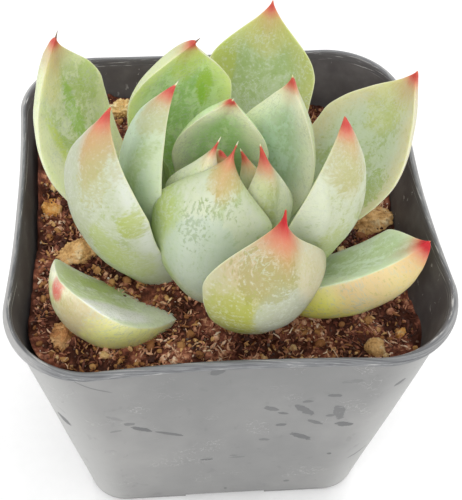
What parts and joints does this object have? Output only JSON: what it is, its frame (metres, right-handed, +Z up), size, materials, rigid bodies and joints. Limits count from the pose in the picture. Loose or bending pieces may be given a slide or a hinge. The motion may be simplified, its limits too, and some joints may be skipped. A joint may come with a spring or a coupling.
{
  "type": "potted rosette succulent",
  "caption": "Small rosette succulent with thick grey-green, red-tipped leaves, planted in gritty soil in a thin square nursery pot that stands on a flat base.",
  "frame": {"origin": "middle of the pot's square footprint, on the surface that the pot stands on", "axes": "+Z up, from the pot's foot to the leaf tips; +X towards the plant's right and -Y towards its front, where the broad front leaf turns up"},
  "size_m": [0.0658, 0.0658, 0.0868],
  "materials": {
    "pot_plastic": "satin",
    "potting_soil": "matte",
    "stem": "matte",
    "leaf": "satin",
    "inner_leaf": "satin",
    "baked_clay": "matte",
    "pumice": "matte"
  },
  "bodies": {
    "root": {"pot": "pot_plastic", "soil": "potting_soil", "stem": "stem", "leaf_front": "leaf", "leaf_front_left": "leaf", "leaf_heart_left": "inner_leaf", "leaf_heart_right": "inner_leaf", "leaf_heart_middle": "inner_leaf", "leaf_heart_front": "inner_leaf", "leaf_left": "leaf", "leaf_right": "leaf", "leaf_low_right": "leaf", "leaf_inner_back": "inner_leaf", "leaf_inner_right": "inner_leaf", "leaf_inner_left": "inner_leaf", "leaf_inner_side": "inner_leaf", "leaf_back_left": "leaf", "leaf_outer_right": "leaf", "leaf_outer_back": "leaf", "leaf_outer_left": "leaf", "leaf_low_left": "leaf", "stone_clay_left": "baked_clay", "stone_pumice_left": "pumice", "stone_clay_lump": "baked_clay", "stone_pumice_back": "pumice", "stone_clay_corner": "baked_clay", "stone_tan_corner": "pumice", "stone_clay_small": "baked_clay", "stone_clay_large": "baked_clay", "stone_white": "pumice"}
  },
  "joints": []
}
